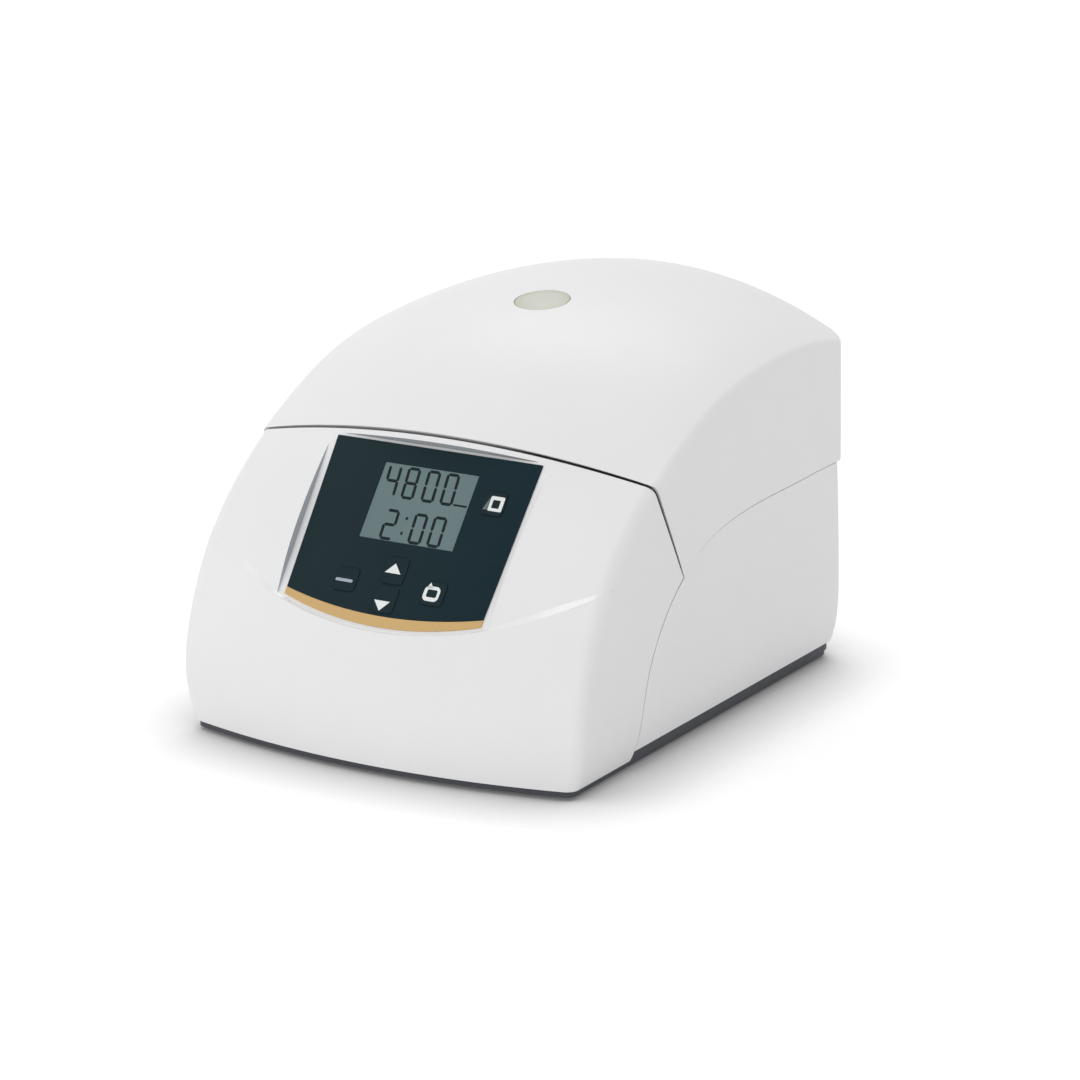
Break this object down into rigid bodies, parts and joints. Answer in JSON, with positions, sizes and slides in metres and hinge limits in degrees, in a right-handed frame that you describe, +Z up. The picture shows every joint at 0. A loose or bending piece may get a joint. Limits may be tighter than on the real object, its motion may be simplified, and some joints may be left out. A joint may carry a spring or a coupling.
{
  "type": "mini centrifuge",
  "caption": "Bench-top mini centrifuge: hooded hinged lid over an angle rotor, sloping key panel with display, rear inlet and switch.",
  "frame": {"origin": "on the bench, under the middle of the body", "axes": "+X right seen from the front, +Y from the control panel towards the rear face, +Z up"},
  "size_m": [0.2752, 0.3523, 0.2466],
  "materials": {
    "white_shell": "satin",
    "liner_white": "satin",
    "base_grey": "satin",
    "foot_rubber": "matte",
    "seal_rubber": "matte",
    "panel_dark": "satin",
    "key_dark": "satin",
    "stripe_tan": "satin",
    "display_grey": "gloss",
    "module_black": "satin",
    "circuit_board": "satin",
    "window_glass": "clear",
    "bright_steel": "brushed",
    "motor_steel": "satin",
    "rotor_aluminium": "anodised",
    "knob_plastic": "satin",
    "cable_grey": "matte",
    "capacitor_sleeve": "gloss",
    "pin_brass": "polished"
  },
  "bodies": {
    "housing": {"housing_shell": "white_shell", "front_fascia": "white_shell", "chamber_deck": "liner_white", "base_pan": "base_grey", "rubber_feet": "foot_rubber", "damper_mounts": "foot_rubber", "shaft_boot": "foot_rubber", "membrane_panel": "panel_dark", "accent_stripe": "stripe_tan", "lcd_glass": "display_grey", "lcd_module": "module_black", "transformer": "module_black", "power_switch": "module_black", "mains_inlet": "module_black", "display_board": "circuit_board", "power_board": "circuit_board", "board_spacers": "bright_steel", "deck_posts": "bright_steel", "base_screws": "bright_steel", "deck_screws": "bright_steel", "rotor_chamber": "bright_steel", "guard_ring": "bright_steel", "motor_plate": "bright_steel", "motor_bearings": "bright_steel", "hinge_pins": "bright_steel", "hinge_brackets": "bright_steel", "motor_housing": "motor_steel", "motor_end_cap": "motor_steel", "motor_stator": "motor_steel", "lock_solenoid": "motor_steel", "heat_sink": "rotor_aluminium", "lock_body": "rotor_aluminium", "display_cable": "cable_grey", "capacitors": "capacitor_sleeve", "inlet_pins": "pin_brass"},
    "lid": {"lid_shell": "white_shell", "lid_liner": "liner_white", "sight_tube": "liner_white", "lid_window": "window_glass", "sight_glass": "window_glass", "chamber_seal": "seal_rubber", "lid_bumpers": "foot_rubber", "lid_screws": "bright_steel", "lid_striker": "bright_steel", "hinge_arm_left": "bright_steel", "hinge_arm_right": "bright_steel"},
    "rotor": {"rotor": "rotor_aluminium", "drive_shaft": "bright_steel", "rotor_nut": "rotor_aluminium", "motor_magnets": "motor_steel"},
    "rotor_lid": {"rotor_lid": "rotor_aluminium"},
    "rotor_lid_knob": {"rotor_lid_knob": "knob_plastic"},
    "lock_bolt": {"lock_bolt": "bright_steel"},
    "fuse_drawer": {"fuse_drawer": "module_black"},
    "power_rocker": {"power_rocker": "module_black"},
    "key_menu": {"key_menu": "key_dark"},
    "key_up": {"key_up": "key_dark"},
    "key_down": {"key_down": "key_dark"},
    "key_start": {"key_start": "key_dark"},
    "key_open": {"key_open": "key_dark"}
  },
  "joints": [
    {"name": "lid_hinge", "type": "hinge", "parent": "housing", "child": "lid", "pos_m": [0, 0.163, 0.1425], "axis": [-1, 0, 0], "range_deg": [0, 78]},
    {"name": "rotor_spin", "type": "hinge", "parent": "housing", "child": "rotor", "pos_m": [0, 0.031, 0.1], "axis": [0, 0, 1], "continuous": true},
    {"name": "rotor_lid_lift", "type": "slide", "parent": "rotor", "child": "rotor_lid", "axis": [0, 0, 1], "range_m": [0, 0.005]},
    {"name": "rotor_lid_lock", "type": "hinge", "parent": "rotor_lid", "child": "rotor_lid_knob", "pos_m": [0, 0.031, 0.148], "axis": [0, 0, 1], "range_deg": [0, 90]},
    {"name": "lock_bolt_slide", "type": "slide", "parent": "housing", "child": "lock_bolt", "axis": [-1, 0, 0], "range_m": [0, 0.012]},
    {"name": "fuse_drawer_slide", "type": "slide", "parent": "housing", "child": "fuse_drawer", "axis": [0, 1, 0], "range_m": [0, 0.015]},
    {"name": "power_rocker_tilt", "type": "hinge", "parent": "housing", "child": "power_rocker", "pos_m": [-0.05, 0.167, 0.041], "axis": [0, 0, -1], "range_deg": [0, 14]},
    {"name": "key_menu_press", "type": "slide", "parent": "housing", "child": "key_menu", "axis": [0, 0.7837, -0.6211], "range_m": [0, 0.0003], "stiffness_N_per_m": 800},
    {"name": "key_up_press", "type": "slide", "parent": "housing", "child": "key_up", "axis": [0, 0.7837, -0.6211], "range_m": [0, 0.0003], "stiffness_N_per_m": 800},
    {"name": "key_down_press", "type": "slide", "parent": "housing", "child": "key_down", "axis": [0, 0.7837, -0.6211], "range_m": [0, 0.0003], "stiffness_N_per_m": 800},
    {"name": "key_start_press", "type": "slide", "parent": "housing", "child": "key_start", "axis": [0, 0.7837, -0.6211], "range_m": [0, 0.0003], "stiffness_N_per_m": 800},
    {"name": "key_open_press", "type": "slide", "parent": "housing", "child": "key_open", "axis": [0, 0.7837, -0.6211], "range_m": [0, 0.0003], "stiffness_N_per_m": 800}
  ]
}
